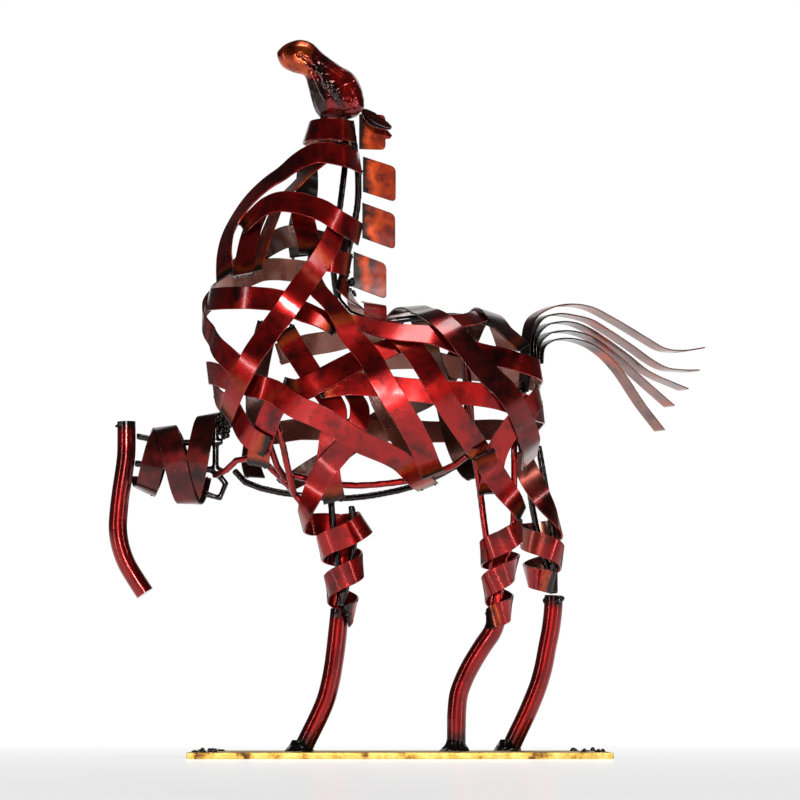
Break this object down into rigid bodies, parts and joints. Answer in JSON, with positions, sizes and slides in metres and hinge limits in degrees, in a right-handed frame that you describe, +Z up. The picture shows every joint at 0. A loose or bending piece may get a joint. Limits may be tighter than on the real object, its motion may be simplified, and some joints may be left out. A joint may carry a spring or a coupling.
{
  "type": "scrap metal horse sculpture",
  "caption": "Standing horse figure woven from flat steel strips and bent wires, one foreleg raised, on a thin rectangular base plate.",
  "frame": {"origin": "centre of the base plate's underside", "axes": "+Z up; the horse faces -X, its left side is towards -Y and its tail swings to +X and +Y"},
  "size_m": [0.331, 0.1238, 0.3922],
  "materials": {
    "red_lacquer": "glossy candy red lacquer over flame-burnt steel, sooty near the welds",
    "umber_lacquer": "the same lacquer over dark brown burnt steel",
    "soot_black_lacquer": "the same lacquer over black scale",
    "burnt_orange_lacquer": "the same lacquer over mottled orange and brown burnt steel",
    "brass_base": "satin brass colour with brown and black mottles"
  },
  "bodies": {
    "root": {"base_plate": "brass_base", "near_foreleg_bar": "red_lacquer", "near_hind_leg_bar": "red_lacquer", "far_hind_leg_bar": "red_lacquer", "raised_foreleg_bar": "red_lacquer", "crest_and_spine_wires": "soot_black_lacquer", "near_belly_wire": "red_lacquer", "far_belly_wire": "soot_black_lacquer", "hip_hoop_wire": "umber_lacquer", "shoulder_wires": "red_lacquer", "near_foreleg_wires": "soot_black_lacquer", "near_hind_leg_wires": "red_lacquer", "far_hind_leg_wires": "soot_black_lacquer", "raised_foreleg_wires": "soot_black_lacquer", "shoulder_strip": "red_lacquer", "foreleg_wrap": "red_lacquer", "hip_to_hock_strip": "red_lacquer", "near_hind_leg_wrap": "red_lacquer", "far_hind_leg_wrap": "red_lacquer", "forearm_wrap_outer": "red_lacquer", "forearm_wrap_cross": "red_lacquer", "far_breast_strip": "umber_lacquer", "withers_strip": "red_lacquer", "far_loin_strip": "umber_lacquer", "flank_strip": "red_lacquer", "shoulder_brace_strip": "red_lacquer", "brisket_strip": "red_lacquer", "breast_cross_strip": "red_lacquer", "hip_strip": "red_lacquer", "breast_to_belly_strip": "red_lacquer", "thigh_strip": "red_lacquer", "saddle_strip": "red_lacquer", "rump_strip": "red_lacquer", "back_strip": "umber_lacquer", "croup_strip": "umber_lacquer", "chest_band": "red_lacquer", "barrel_strip": "red_lacquer", "breast_curl_strip": "red_lacquer", "crest_tab_strip": "red_lacquer", "far_neck_strip": "umber_lacquer", "throat_strip": "soot_black_lacquer", "neck_inner_strip": "red_lacquer", "neck_brace_strip": "burnt_orange_lacquer", "neck_side_strip": "red_lacquer", "neck_diagonal_strip": "red_lacquer", "neck_arch_strip": "red_lacquer", "neck_spiral_strip": "red_lacquer", "collar": "red_lacquer", "mane_plate_1": "burnt_orange_lacquer", "mane_plate_2": "burnt_orange_lacquer", "mane_plate_3": "burnt_orange_lacquer", "mane_plate_4": "burnt_orange_lacquer", "tail_strip_1": "soot_black_lacquer", "tail_strip_2": "soot_black_lacquer", "tail_strip_3": "soot_black_lacquer", "tail_strip_4": "soot_black_lacquer", "tail_strip_5": "soot_black_lacquer", "head": "red_lacquer", "near_ear": "red_lacquer", "far_ear": "red_lacquer"}
  },
  "joints": []
}
